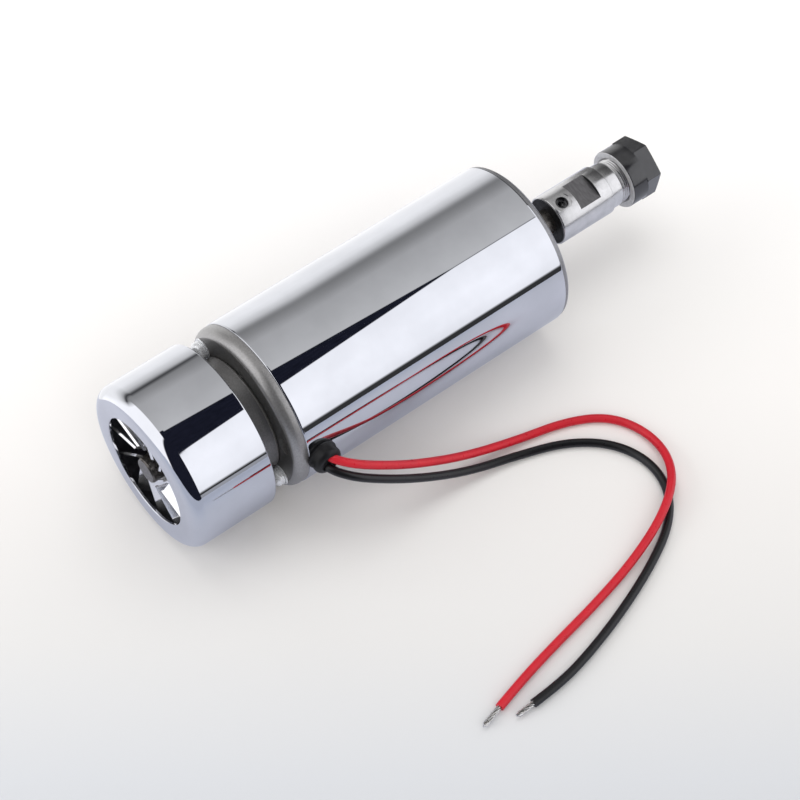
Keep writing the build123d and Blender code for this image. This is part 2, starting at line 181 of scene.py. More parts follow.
class Finish(Tree):
    """A node material whose patterns follow the object's own coordinates."""

    def __init__(self, name, base, metallic, roughness, **sockets):
        self.material = bpy.data.materials.new(name)
        self.material.use_nodes = True
        super().__init__(self.material.node_tree)
        self.shader = self.nodes["Principled BSDF"]
        self.shader.inputs["Base Color"].default_value = (*base, 1.0)
        self.shader.inputs["Metallic"].default_value = metallic
        self.shader.inputs["Roughness"].default_value = roughness
        for socket, value in sockets.items():
            self.shader.inputs[socket.replace("_", " ")].default_value = value
        self.coords = self.add("TexCoord").outputs["Object"]
        self.normal = None
        MATERIALS[name] = self.material

    def noise(self, scale, detail=3.0, vector=None):
        return self.add("TexNoise", Scale=scale, Detail=detail, Roughness=0.55,
                        Vector=vector or self.coords).outputs["Fac"]

    def grain(self, along, across, detail=3.0):
        """Noise with one scale along the spindle axis and another across it."""
        stretched = self.add("Mapping", Scale=(along, across, across), Vector=self.coords)
        return self.noise(1, detail, stretched.outputs["Vector"])

    def mixed(self, factor, first, second):
        self.feed(self.shader.inputs["Base Color"],
                  self.ramp(factor, ((0.35, first), (0.65, second))))

    def rough(self, factor, low, high):
        spread = self.add("MapRange", Value=factor, From_Min=0.3, From_Max=0.7,
                          To_Min=low, To_Max=high)
        self.feed(self.shader.inputs["Roughness"], spread.outputs["Result"])

    def bump(self, factor, distance):
        """Adds a bump of a height in millimetres to the ones before it."""
        node = self.add("Bump", Distance=distance * MM, Height=factor, Normal=self.normal)
        self.normal = node.outputs["Normal"]
        self.feed(self.shader.inputs["Normal"], self.normal)


def shade(base, factor):
    return tuple(min(1.0, channel * factor) for channel in base)


def make_materials():
    colours = bpy.context.scene.spindle_colours

    chrome = Finish("polished_chrome", colours.chrome, 1.0, 0.02)
    chrome.mixed(chrome.noise(70, 3), shade(colours.chrome, 0.95), shade(colours.chrome, 1.03))
    chrome.rough(chrome.noise(700, 5), 0.012, 0.03)
    chrome.bump(chrome.noise(60, 2), 0.002)

    # The second casting is a darker copy of the first, painted shade for the rear cap's flat face
    # and boss.
    for name, base, low, high in (("cast_end_cap", shade(colours.casting, 1.3), 0.34, 0.42),
                                  ("cast_boss_painted_shade", shade(colours.casting, 0.72), 0.4, 0.5)):
        casting = Finish(name, base, 0.8, 0.3)
        casting.mixed(casting.noise(2200, 4), shade(base, 0.88), shade(base, 1.12))
        casting.rough(casting.noise(1800, 4), low, high)
        casting.bump(casting.noise(3000, 3), 0.005)

    # Painted shade: a dark sheet for the inside of the chromed cover.
    inside = Finish("cover_inside_painted_shade", (0.05, 0.052, 0.065), 0.4, 0.4)
    inside.mixed(inside.noise(500, 4), (0.035, 0.037, 0.047), (0.07, 0.07, 0.085))
    inside.rough(inside.noise(1200, 3), 0.3, 0.5)
    inside.bump(inside.noise(900, 3), 0.004)

    front = Finish("turned_end_cap", (0.27, 0.27, 0.28), 0.75, 0.34)
    front.mixed(front.noise(1800, 4), (0.25, 0.25, 0.26), (0.30, 0.30, 0.31))
    front.rough(front.grain(9000, 300), 0.28, 0.42)
    front.bump(front.grain(9000, 200), 0.004)

    ground = Finish("ground_rod", colours.ground, 1.0, 0.12)
    ground.mixed(ground.noise(350, 4), shade(colours.ground, 0.94), shade(colours.ground, 1.06))
    ground.rough(ground.grain(12000, 500, 4), 0.17, 0.27)
    ground.bump(ground.grain(14000, 250), 0.0012)

    milled = Finish("milled_flat", (0.21, 0.205, 0.21), 0.9, 0.42)
    milled.mixed(milled.grain(2500, 500), (0.18, 0.175, 0.18), (0.25, 0.245, 0.25))
    milled.rough(milled.noise(1200, 3), 0.36, 0.5)
    milled.bump(milled.grain(5200, 600, 2), 0.006)

    # Painted shade: the walls at the ends of the spanner flats and the rod's back face, dark for
    # the shadow on them.
    wall = Finish("milled_wall_painted_shade", (0.03, 0.03, 0.032), 0.6, 0.5)
    wall.mixed(wall.noise(900, 3), (0.02, 0.02, 0.022), (0.04, 0.04, 0.042))
    wall.rough(wall.noise(1500, 3), 0.4, 0.6)
    wall.bump(wall.noise(2200, 2), 0.006)

    end = Finish("shaft_end", (0.12, 0.11, 0.10), 0.9, 0.3)
    end.mixed(end.noise(900, 4), (0.09, 0.083, 0.077), (0.15, 0.14, 0.13))
    end.rough(end.noise(1500, 4), 0.22, 0.4)
    end.bump(end.noise(1200, 3), 0.006)

    # Painted light: the black nut's rear face is pale grey for the light that falls on it.
    nut_face = Finish("nut_face_painted_light", (0.58, 0.58, 0.59), 0.3, 0.4)
    nut_face.mixed(nut_face.noise(900, 4), (0.52, 0.52, 0.53), (0.62, 0.62, 0.63))
    nut_face.rough(nut_face.noise(1500, 4), 0.34, 0.46)
    nut_face.bump(nut_face.grain(9000, 400), 0.003)

    oxide = Finish("black_oxide", colours.oxide, 0.0, 0.16, Specular_IOR_Level=0.85)
    oxide.mixed(oxide.noise(500, 5), shade(colours.oxide, 0.7), shade(colours.oxide, 1.4))
    oxide.rough(oxide.noise(900, 4), 0.12, 0.2)
    oxide.bump(oxide.grain(6000, 900), 0.0015)

    sheet = Finish("bright_sheet", (0.72, 0.73, 0.74), 1.0, 0.2)
    sheet.mixed(sheet.noise(200, 4), (0.64, 0.65, 0.66), (0.78, 0.79, 0.80))
    sheet.rough(sheet.noise(600, 4), 0.14, 0.3)
    sheet.bump(sheet.grain(300, 3000), 0.004)

    fastener = Finish("plated_fastener", (0.80, 0.81, 0.83), 0.45, 0.24)
    fastener.mixed(fastener.noise(800, 3), (0.75, 0.76, 0.78), (0.84, 0.85, 0.87))
    fastener.rough(fastener.noise(1500, 3), 0.2, 0.32)
    fastener.bump(fastener.noise(900, 2), 0.001)

    blade = Finish("fan_blade", (0.84, 0.84, 0.86), 0.9, 0.16)
    blade.mixed(blade.noise(250, 4), (0.80, 0.80, 0.82), (0.88, 0.88, 0.90))
    blade.rough(blade.noise(700, 4), 0.12, 0.2)
    blade.bump(blade.noise(900, 3), 0.004)

    bush = Finish("turned_bush", (0.30, 0.295, 0.29), 0.7, 0.36)
    bush.mixed(bush.noise(500, 4), (0.25, 0.245, 0.24), (0.35, 0.345, 0.34))
    bush.rough(bush.noise(1200, 3), 0.28, 0.44)
    bush.bump(bush.grain(8000, 400), 0.006)

    rubber = Finish("grommet_rubber", (0.006, 0.006, 0.007), 0.0, 0.5, Specular_IOR_Level=0.3)
    rubber.mixed(rubber.noise(600, 4), (0.004, 0.004, 0.005), (0.009, 0.009, 0.010))
    rubber.rough(rubber.noise(1400, 4), 0.36, 0.52)
    rubber.bump(rubber.noise(2200, 3), 0.01)

    for name, base in (("red_insulation", colours.red), ("black_insulation", colours.black)):
        skin = Finish(name, base, 0.0, 0.3, Specular_IOR_Level=0.4)
        skin.mixed(skin.noise(240, 4), shade(base, 0.95), shade(base, 1.05))
        skin.rough(skin.noise(900, 4), 0.26, 0.36)
        skin.bump(skin.noise(200, 2), 0.003)

    tinned = Finish("tinned_strand", (0.66, 0.65, 0.62), 1.0, 0.25)
    tinned.mixed(tinned.noise(1500, 4), (0.52, 0.50, 0.47), (0.74, 0.73, 0.71))
    tinned.rough(tinned.noise(2400, 4), 0.18, 0.4)
    tinned.bump(tinned.noise(2600, 3), 0.01)

    copper = Finish("winding_copper", (0.60, 0.25, 0.10), 1.0, 0.3)
    copper.mixed(copper.grain(200, 2600, 4), (0.42, 0.15, 0.06), (0.68, 0.30, 0.13))
    copper.rough(copper.noise(900, 3), 0.22, 0.4)
    copper.bump(copper.grain(150, 3200, 2), 0.03)

    brass = Finish("brass", (0.62, 0.42, 0.16), 1.0, 0.3)
    brass.mixed(brass.noise(400, 4), (0.54, 0.36, 0.13), (0.68, 0.48, 0.20))
    brass.rough(brass.noise(1000, 3), 0.22, 0.4)

    for name, base, metallic, roughness in (
            ("magnet_ferrite", (0.05, 0.05, 0.055), 0.2, 0.6),
            ("lamination_steel", (0.30, 0.30, 0.31), 0.9, 0.4),
            ("brush_carbon", (0.02, 0.02, 0.021), 0.1, 0.6),
            ("phenolic_board", (0.10, 0.045, 0.02), 0.0, 0.5)):
        plain = Finish(name, base, metallic, roughness)
        plain.mixed(plain.noise(500, 4), shade(base, 0.8), shade(base, 1.2))
        plain.rough(plain.noise(1200, 3), roughness - 0.08, roughness + 0.08)
        plain.bump(plain.noise(1800, 3), 0.01)


SLOT_FINISH = {
    "chrome": "polished_chrome", "cast_aluminium": "cast_end_cap",
    "bright_steel": "plated_fastener", "sheet_steel": "bright_sheet",
    "ground_steel": "ground_rod", "black_oxide": "black_oxide", "turned_steel": "turned_bush",
    "ferrite": "magnet_ferrite", "lamination": "lamination_steel", "copper": "winding_copper",
    "brass": "brass", "carbon": "brush_carbon", "spring_steel": "bright_sheet",
    "phenolic": "phenolic_board", "black_rubber": "grommet_rubber",
    "red_insulation": "red_insulation", "black_insulation": "black_insulation",
    "tinned_copper": "tinned_strand",
}

NODE_FINISH = {"motor_shaft": "shaft_end"}


# ---- modelling helpers -----------------------------------------------
def arc(centre_x, centre_r, radius, start, stop, steps=8):
    """Points of an arc in an outline, by its angles in degrees from +X."""
    turn = (stop - start) / steps
    return [(centre_x + radius * cos(radians(start + turn * k)),
             centre_r + radius * sin(radians(start + turn * k))) for k in range(steps + 1)]


RING_SHARES = (0.003, 0.01, 0.03, 0.2, 0.4, 0.6, 0.8, 0.97, 0.99, 0.997)


def run_of(start, stop, radius):
    """Rings between two ends, close at the ends, so that the side stays true."""
    return [(start + (stop - start) * share, radius) for share in RING_SHARES]


def spin(bm, outline, steps, centre=(0.0, 0.0)):
    """Turns a closed (x, r) outline about a line along X through (y, z)."""
    y, z = centre
    verts = [bm.verts.new((x * MM, (y + r) * MM, z * MM)) for x, r in outline]
    on_axis = outline[0][1] == outline[-1][1] == 0.0
    edges = [bm.edges.new(pair)
             for pair in zip(verts, verts[1:] + ([] if on_axis else verts[:1]))]
    bmesh.ops.spin(bm, geom=verts + edges, cent=(0, y * MM, z * MM), axis=(1, 0, 0),
                   angle=tau, steps=steps, use_merge=True)


def turn_about_axis(bm, angle, verts=None):
    bmesh.ops.rotate(bm, verts=verts or bm.verts, cent=(0, 0, 0),
                     matrix=Matrix.Rotation(radians(angle), 3, "X"))


def mesh_of(bm, name, sharp=38.0):
    bmesh.ops.remove_doubles(bm, verts=bm.verts, dist=1e-7)
    bmesh.ops.recalc_face_normals(bm, faces=bm.faces)
    smooth_faces(bm, sharp)
    mesh = bpy.data.meshes.new(name)
    bm.to_mesh(mesh)
    bm.free()
    return mesh


def smooth_faces(bm, sharp):
    for face in bm.faces:
        face.smooth = True
    for edge in bm.edges:
        if len(edge.link_faces) == 2:
            edge.smooth = edge.calc_face_angle() < radians(sharp)


def place(name, mesh, finish, body, replaced):
    """Links a piece, gives it its finish and makes it ride on its body."""
    mesh.materials.append(MATERIALS[finish])
    piece = bpy.data.objects.new(name, mesh)
    bpy.context.scene.collection.objects.link(piece)
    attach(piece, body)
    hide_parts(*replaced)
    return piece


def carve(piece, cutters, sharp=38.0):
    """Takes the cutters' solids out of a piece and leaves a plain mesh."""
    cutter = bpy.data.objects.new("cutter", mesh_of(cutters, "cutter"))
    bpy.context.scene.collection.objects.link(cutter)
    cut = piece.modifiers.new("cut", "BOOLEAN")
    cut.operation = "DIFFERENCE"
    cut.solver = "EXACT"
    cut.object = cutter
    bpy.context.view_layer.update()
    result = bpy.data.meshes.new_from_object(
        piece.evaluated_get(bpy.context.evaluated_depsgraph_get()))
    piece.modifiers.remove(cut)
    bpy.data.objects.remove(cutter)
    bm = bmesh.new()
    bm.from_mesh(result)
    bmesh.ops.remove_doubles(bm, verts=bm.verts, dist=2e-6)
    smooth_faces(bm, sharp)
    bm.to_mesh(result)
    bm.free()
    old, piece.data = piece.data, result
    bpy.data.meshes.remove(old)


def block(bm, low, high, angle):
    """A box between two corners, turned about the spindle axis."""
    made = bmesh.ops.create_cube(bm, size=1.0)["verts"]
    size = [(b - a) * MM for a, b in zip(low, high)]
    middle = [(b + a) / 2 * MM for a, b in zip(low, high)]
    bmesh.ops.scale(bm, vec=size, verts=made)
    bmesh.ops.translate(bm, vec=middle, verts=made)
    turn_about_axis(bm, angle, made)


def cylinder(bm, radius, height, upright, middle, angle, steps):
    """A cylinder laid down by a matrix, moved, and turned about the spindle axis."""
    made = bmesh.ops.create_cone(bm, cap_ends=True, segments=steps, radius1=radius * MM,
                                 radius2=radius * MM, depth=height * MM,
                                 matrix=upright)["verts"]
    bmesh.ops.translate(bm, vec=[c * MM for c in middle], verts=made)
    turn_about_axis(bm, angle, made)


def rod_out(bm, x, radius, start, stop, angle, steps=48):
    """A cylinder that stands out from the axis, from one radius to another."""
    cylinder(bm, radius, stop - start, Matrix.Rotation(-pi / 2, 4, "X"),
             (x, (start + stop) / 2, 0), angle, steps)


def rod_along(bm, start, stop, radius, distance, angle, steps=48):
    """A cylinder along X whose line is a distance off the axis."""
    cylinder(bm, radius, stop - start, Matrix.Rotation(pi / 2, 4, "Y"),
             ((start + stop) / 2, distance, 0), angle, steps)


BOLT_RADIUS = 20.9
BOLT_ANGLES = {"upper": 32.0, "lower": -148.0}
REAR_FACE = -98.5
FAN_BLADES = 12
FLAT_ANGLE = 102.5


# ---- operators -------------------------------------------------------
class SPINDLE_OT_finishes(bpy.types.Operator):
    """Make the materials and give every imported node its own"""
    bl_idname = "spindle.finishes"
    bl_label = "Finishes"

    def execute(self, context):
        make_materials()
        for part in frame["record"]["subparts"]:
            node = NODES[part["node"]]
            finish = MATERIALS[NODE_FINISH.get(part["node"]) or SLOT_FINISH[part["material_slot"]]]
            if not node.material_slots:
                node.data.materials.append(finish)
            for slot in node.material_slots:
                slot.material = finish
        return {"FINISHED"}


class SPINDLE_OT_barrel(bpy.types.Operator):
    """Chromed barrel with eased cut edges"""
    bl_idname = "spindle.barrel"
    bl_label = "Barrel"

    def execute(self, context):
        sizes = context.scene.spindle_sizes
        outer, wall = sizes.barrel_radius / MM, sizes.barrel_wall / MM
        ease = sizes.edge_radius / MM
        back, front = node_low("motor_tube", 0), node_high("motor_tube", 0)
        outline = arc(front - ease, outer - ease, ease, 0, 90, 5) \
            + run_of(front - ease, back + ease, outer) \
            + arc(back + ease, outer - ease, ease, 90, 180, 5) \
            + [(back, outer - wall), (front, outer - wall)]
        bm = bmesh.new()
        spin(bm, outline, 256)
        place("barrel_shell", mesh_of(bm, "barrel_shell"), "polished_chrome",
              "housing", ["motor_tube"])
        return {"FINISHED"}


class SPINDLE_OT_end_caps(bpy.types.Operator):
    """Cast end caps: the front one with its step, the rear one with vents and boss"""
    bl_idname = "spindle.end_caps"
    bl_label = "End caps"

    def execute(self, context):
        sizes = context.scene.spindle_sizes
        outer = node_high("front_cap", 2)
        spigot = (sizes.barrel_radius - sizes.barrel_wall) / MM - 0.1
        rim, pocket, pocket_wall = 20.0, 11.0, 13.5
        spigot_end, web, face, nose, shaft_hole = -7.9, -2.5, 1.8, 4.4, 6.4
        bm = bmesh.new()
        spin(bm, [(spigot_end, spigot), (-0.05, spigot), (-0.05, outer)]
             + arc(0.75, outer - 0.45, 0.45, 90, 30, 4) + [(face - 0.05, outer - 0.85)]
             + arc(face - 0.4, outer - 1.2, 0.35, 40, 0, 3)
             + [(face, 14.2)] + arc(face + 0.8, 13.8, 0.55, 250, 180, 3)[::-1]
             + arc(nose - 0.4, 12.8, 0.4, 90, 0, 4)
             + [(nose, shaft_hole + 0.5), (nose - 0.4, shaft_hole), (0.8, shaft_hole),
                (0.8, pocket), (-7.5, pocket), (-7.5, pocket_wall), (web, pocket_wall),
                (web, rim), (spigot_end, rim)], 192)
        place("front_end_cap", mesh_of(bm, "front_end_cap", 30), "turned_end_cap",
              "housing", ["front_cap"])
        shoulder, boss, boss_end = 3.0, 16.0, node_low("rear_cap", 0)
        seam, spigot_end, web, pocket_floor = node_low("motor_tube", 0), -88, -95.5, -104.3
        bm = bmesh.new()
        spin(bm, [(spigot_end, spigot), (seam + 0.05, spigot), (seam + 0.05, outer - 0.15)]
             + arc(seam - 0.3, outer - 0.3, 0.3, 60, 90, 2)
             + arc(REAR_FACE + shoulder, outer - shoulder, shoulder, 90, 180, 14)
             + [(REAR_FACE, boss + 1.3)] + arc(REAR_FACE - 0.9, boss + 1.2, 0.9, 90, 0, 6)[::-1]
             + [(boss_end + 0.7, boss - 0.3)] + arc(boss_end + 0.6, boss - 0.9, 0.6, 90, 180, 4)
             + [(boss_end, 6.0), (pocket_floor, 5.5), (pocket_floor, pocket), (web, pocket),
                (web, rim), (spigot_end, rim)], 192)
        cap = place("rear_end_cap", mesh_of(bm, "rear_end_cap", 30), "cast_end_cap",
                    "housing", ["rear_cap"])
        cutters = bmesh.new()
        for angle in BOLT_ANGLES.values():
            rod_along(cutters, -100, REAR_FACE + 0.01, 3.5, BOLT_RADIUS, angle)
        carve(cap, cutters, 30)
        cut_back, cut_floor, stretch = REAR_FACE - 0.5, seam, 1.3
        for angle in (165.0, -15.0):
            vent = bmesh.new()
            rod_along(vent, cut_back, cut_floor, 1.6, BOLT_RADIUS, 0)
            ends = [(way, [v for v in vent.verts if v.co.z * way > 1e-5]) for way in (1, -1)]
            for way, verts in ends:
                bmesh.ops.translate(vent, vec=(0, 0, way * stretch * MM), verts=verts)
            turn_about_axis(vent, angle)
            carve(cap, vent, 30)
        holes = bmesh.new()
        for angle in (93.0, -87.0):
            rod_along(holes, cut_back, cut_floor, 1.05, 18.6, angle, 32)
        carve(cap, holes, 30)
        # Painted shade: the flat rear face and the boss take the darker copy of the casting.
        cap.data.materials.append(MATERIALS["cast_boss_painted_shade"])
        for face in cap.data.polygons:
            if face.normal.x < -0.93 or hypot(face.center.y, face.center.z) < (boss + 1.4) * MM:
                face.material_index = 1
        return {"FINISHED"}


class SPINDLE_OT_fan_cover(bpy.types.Operator):
    """Chromed sheet cup with a curled open edge and the round air inlet"""
    bl_idname = "spindle.fan_cover"
    bl_label = "Fan cover"

    def execute(self, context):
        sizes = context.scene.spindle_sizes
        outer, wall = sizes.barrel_radius / MM, sizes.cover_wall / MM
        corner, curl = sizes.cover_corner / MM, sizes.cover_curl / MM
        inlet = sizes.inlet_radius / MM
        back, front = node_low("fan_cover", 0), node_high("fan_cover", 0)
        lip = 0.4
        outline = arc(front - lip, outer - lip, lip, 0, 90, 8) \
            + run_of(front - lip, back + corner, outer) \
            + arc(back + corner, outer - corner, corner, 90, 180, 18) \
            + arc(back + 0.45, inlet + 0.35, 0.45, 180, 270, 4)[:-1] \
            + [(back + wall, inlet), (back + wall, outer - corner)] \
            + arc(back + corner, outer - corner, corner - wall, 180, 90, 12)[1:] \
            + arc(front - curl, outer - curl, curl - wall, 90, 0, 6)
        bm = bmesh.new()
        spin(bm, outline, 256)
        shell = place("fan_cover_shell", mesh_of(bm, "fan_cover_shell"), "polished_chrome",
                      "housing", ["fan_cover"])
        # The inside faces of the cover take the dark painted shade.
        shell.data.materials.append(MATERIALS["cover_inside_painted_shade"])
        for face in shell.data.polygons:
            middle = face.center
            inwards = face.normal.dot(Vector((0, middle.y, middle.z)).normalized()) < -0.3
            if (inwards or face.normal.x > 0.5) \
                    and (back + 0.9) * MM < middle.x < (front - lip - 0.5) * MM:
                face.material_index = 1
        return {"FINISHED"}


def blade_profile(start, run, half_sheet, steps=12, inlet_pitch=47, far_pitch=5):
    """The curled section of a fan blade, as points along the axis and across it."""
    line, x, t = [], 0.0, 0.0
    for step in range(steps + 1):
        pitch = radians(inlet_pitch - (inlet_pitch - far_pitch) * step / steps)
        line.append((x, t, -pitch))
        x += run / steps * cos(pitch)
        t -= run / steps * sin(pitch)
    sides = [[(start + along - side * sin(a), across - t / 2 + side * cos(a))
              for along, across, a in line] for side in (half_sheet, -half_sheet)]
    return sides[0] + sides[1][::-1]


class SPINDLE_OT_fan(bpy.types.Operator):
    """Cooling fan: a pressed ring with blades that curl towards the inlet"""
    bl_idname = "spindle.fan"
    bl_label = "Fan"

    def execute(self, context):
        sizes = context.scene.spindle_sizes
        back, front = node_low("fan", 0), node_high("fan", 0)
        bore = node_high("fan_hub", 2)
        tip = (sizes.barrel_radius - sizes.cover_wall) / MM - 1.85
        bm = bmesh.new()
        spin(bm, [(back, bore), (back, bore + 0.6), (back + 0.25, bore + 0.85),
                  (front - 0.25, bore + 0.85), (front, bore + 0.6), (front, bore)], 96)
        ring = place("fan_dressed", mesh_of(bm, "fan"), "fan_blade", "rotor",
                     ["fan"])
        hole = bmesh.new()
        rod_out(hole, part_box("fan_set_screw")[0].x / MM + 1.25, 1.6, 5.0, 9, 0, 24)
        carve(ring, hole)
        profile = blade_profile(back - 4.2, run=17.0, half_sheet=0.35)
        bm = bmesh.new()
        bm.from_mesh(ring.data)
        for k in range(FAN_BLADES):
            root = [bm.verts.new((x * MM, sqrt((bore + 0.5) ** 2 - t * t) * MM, t * MM))
                    for x, t in profile]
            base = bm.faces.new(root)
            out = bmesh.ops.extrude_face_region(bm, geom=[base])["geom"]
            ends = [v for v in out if isinstance(v, bmesh.types.BMVert)]
            for v in ends:
                v.co.y = sqrt((tip * MM) ** 2 - v.co.z ** 2)
            turn_about_axis(bm, 360 / FAN_BLADES * k + 15, root + ends)
        ring.data = mesh_of(bm, "fan", 50)
        ring.data.materials.append(MATERIALS["fan_blade"])
        return {"FINISHED"}


class SPINDLE_OT_tie_bolts(bpy.types.Operator):
    """Pan heads with a cross recess, over a split washer and a flat washer"""
    bl_idname = "spindle.tie_bolts"
    bl_label = "Tie bolts"

    def execute(self, context):
        seat, recess_floor = REAR_FACE, -101.55
        shank, hole, head_radius = 1.45, 1.55, 2.95
        for side, angle in BOLT_ANGLES.items():
            a = radians(angle)
            centre = (BOLT_RADIUS * cos(a), BOLT_RADIUS * sin(a))
            bm = bmesh.new()
            spin(bm, [(0.5, 0.0), (0.5, shank), (seat - 1.3, shank), (seat - 1.3, 2.75)]
                 + [(seat - 3.55 + 2.0 * (1 - cos(radians(t))), head_radius * sin(radians(t)))
                    for t in range(78, -1, -13)], 64, centre)
            head = place("tie_bolt_" + side + "_dressed", mesh_of(bm, "tie_bolt_" + side),
                         "plated_fastener", "housing", ["tie_bolt_" + side])
            for half_y, half_z in ((0.95, 0.17), (0.17, 0.95)):
                arm = bmesh.new()
                block(arm, (recess_floor - 1.45, BOLT_RADIUS - half_y, -half_z),
                      (recess_floor, BOLT_RADIUS + half_y, half_z), angle)
                carve(head, arm)
            bm = bmesh.new()
            spin(bm, [(seat, hole), (seat, 3.25), (seat - 0.1, 3.3), (seat - 0.4, 3.3),
                      (seat - 0.5, 3.2), (seat - 0.5, hole)], 48, centre)
            place("flat_washer_" + side + "_dressed", mesh_of(bm, "flat_washer_" + side),
                  "plated_fastener", "housing", ["flat_washer_" + side])
            bm = bmesh.new()
            spin(bm, [(seat - 0.52, hole), (seat - 0.52, 2.75), (seat - 0.62, 2.85),
                      (seat - 1.18, 2.85), (seat - 1.28, 2.75), (seat - 1.28, hole)], 48, centre)
            split = place("spring_washer_" + side + "_dressed", mesh_of(bm, "spring_washer"),
                          "plated_fastener", "housing", ["spring_washer_" + side])
            gap = bmesh.new()
            block(gap, (seat - 1.5, BOLT_RADIUS + 1, -0.2), (seat - 0.3, BOLT_RADIUS + 4, 0.2),
                  angle)
            carve(split, gap)
        return {"FINISHED"}


class SPINDLE_OT_collet_rod(bpy.types.Operator):
    """Ground rod with milled spanner flats, grub-screw seats and a fine thread"""
    bl_idname = "spindle.collet_rod"
    bl_label = "Collet rod"

    def execute(self, context):
        radius, back = node_high("collet_rod", 2), node_low("collet_rod", 0)
        seam, neck, end = 35.2, 7.3, node_high("collet_rod", 0)
        thread_start, thread, pitch = 39.3, 7.0, 0.75
        flat_start, flat_end, flat_depth, screw_x = 22.9, 30.7, 6.5, 18.7
        shaft_bore, taper_start = 4.0, 36.7
        outline = [(back, shaft_bore), (back, radius - 0.55)] \
            + arc(back + 0.5, radius - 0.5, 0.5, 180, 90, 4) \
            + arc(seam - 0.35, radius - 0.35, 0.35, 90, 0, 4) + [(seam, neck)] \
            + arc(thread_start - 0.25, neck - 0.25, 0.25, 90, 0, 3) \
            + [(thread_start, thread - 0.5), (thread_start + 0.35, thread - 0.5)]
        x = thread_start + 0.5
        while x < end - 0.8:
            outline += [(x, thread - 0.42), (x + 0.3, thread), (x + 0.4, thread),
                        (x + 0.7, thread - 0.42)]
            x += pitch
        outline += [(end, 6.5), (end, 5.79), (taper_start, 3.98), (taper_start, shaft_bore)]
        bm = bmesh.new()
        spin(bm, outline, 160)
        rod = place("collet_rod_dressed", mesh_of(bm, "collet_rod", 32), "ground_rod",
                    "rotor", ["collet_rod"])
        cutters = bmesh.new()
        for half_turn in (0, 180):
            block(cutters, (flat_start, flat_depth, -9), (flat_end, 9.5, 9),
                  FLAT_ANGLE + half_turn)
        carve(rod, cutters, 32)
        for angle in (FLAT_ANGLE, FLAT_ANGLE - 90):
            for hole_radius, floor in ((3.1, 7.65), (2.0, 5.0)):
                hole = bmesh.new()
                rod_out(hole, screw_x, hole_radius, floor, 9, angle)
                carve(rod, hole, 32)
        rod.data.materials.append(MATERIALS["milled_flat"])
        rod.data.materials.append(MATERIALS["milled_wall_painted_shade"])
        for face in rod.data.polygons:
            for half_turn in (0, 180):
                a = radians(FLAT_ANGLE + half_turn)
                if face.normal.dot(Vector((0, cos(a), sin(a)))) > 0.999 \
                        and flat_start * MM < face.center.x < flat_end * MM:
                    face.material_index = 1
            # Painted shade on the flats' end walls and the rod's back face.
            if abs(face.normal.x) > 0.99 \
                    and (flat_start - 0.4) * MM < face.center.x < (flat_end + 0.3) * MM \
                    or face.center.x < back * MM + 1e-6:
                face.material_index = 2
        for number, angle in ((1, FLAT_ANGLE), (2, FLAT_ANGLE - 90)):
            bm = bmesh.new()
            rod_out(bm, screw_x, 1.97, 4.0, 6.7, 0)
            rim = [e for e in bm.edges if all(v.co.y > 6.6 * MM for v in e.verts)]
            bmesh.ops.bevel(bm, geom=rim, offset=0.25 * MM, segments=3, profile=0.5,
                            affect="EDGES", material=-1)
            turn_about_axis(bm, angle)
            screw = place("grub_screw_%d_dressed" % number, mesh_of(bm, "grub_screw"),
                          "black_oxide", "rotor", ["grub_screw_%d" % number])
            socket = bmesh.new()
            rod_out(socket, screw_x, 1.15, 5.0, 7.5, angle, 6)
            carve(screw, socket)
        return {"FINISHED"}


class SPINDLE_OT_collet_nut(bpy.types.Operator):
    """Black nut: a round collar, a groove and a chamfered hexagon"""
    bl_idname = "spindle.collet_nut"
    bl_label = "Collet nut"

    def execute(self, context):
        flat = context.scene.spindle_sizes.nut_across_flats / 2
        outer, back, front = 9.5, node_low("collet_nut", 0), node_high("collet_nut", 0)
        waist, bore, mouth, snap_ring = back + 6.7, 7.1, 5.6, 4.85
        bm = bmesh.new()
        spin(bm, [(back + 0.35, bore), (back, bore + 0.5), (back, 9.1)]
             + arc(back + 0.35, outer - 0.35, 0.35, 180, 90, 4)
             + [(waist - 1.0, outer), (waist, flat), (waist, bore)], 160)
        collar = mesh_of(bm, "collet_nut_collar", 32)
        bm = bmesh.new()
        spin(bm, [(waist - 1.05, bore), (waist - 1.05, outer + 0.3), (front - 1.1, outer + 0.3),
                  (front - 0.12, flat + 0.02)] + arc(front - 0.12, flat - 0.12, 0.12, 80, 0, 3)
             + [(front, 6.45), (front - 1.0, 5.75), (51.2, mouth), (50.4, mouth),
                (50.4, snap_ring), (49.75, snap_ring), (49.75, bore)], 160)
        for k in range(6):
            a = radians(68.0 + 60.0 * k)
            normal = Vector((0, cos(a), sin(a)))
            cut = bmesh.ops.bisect_plane(
                bm, geom=bm.verts[:] + bm.edges[:] + bm.faces[:], plane_co=normal * flat,
                plane_no=normal, clear_outer=True)
            rim = [e for e in cut["geom_cut"] if isinstance(e, bmesh.types.BMEdge)]
            bmesh.ops.edgenet_fill(bm, edges=rim)
        corners = [e for e in bm.edges if all(hypot(v.co.y, v.co.z) > 9.6 * MM for v in e.verts)
                   and abs((e.verts[0].co - e.verts[1].co).normalized().x) > 0.99]
        bmesh.ops.bevel(bm, geom=corners, offset=0.22 * MM, segments=2, profile=0.5,
                        affect="EDGES", material=-1)
        bm.from_mesh(collar)
        bpy.data.meshes.remove(collar)
        nut = place("collet_nut_dressed", mesh_of(bm, "collet_nut", 32), "black_oxide",
                    "nut", ["collet_nut"])
        nut.data.materials.append(MATERIALS["nut_face_painted_light"])
        # The nut's rear face takes the pale painted light.
        for face in nut.data.polygons:
            if abs(face.normal.x) > 0.75 and face.center.x < (back + 0.2) * MM:
                face.material_index = 1
        return {"FINISHED"}


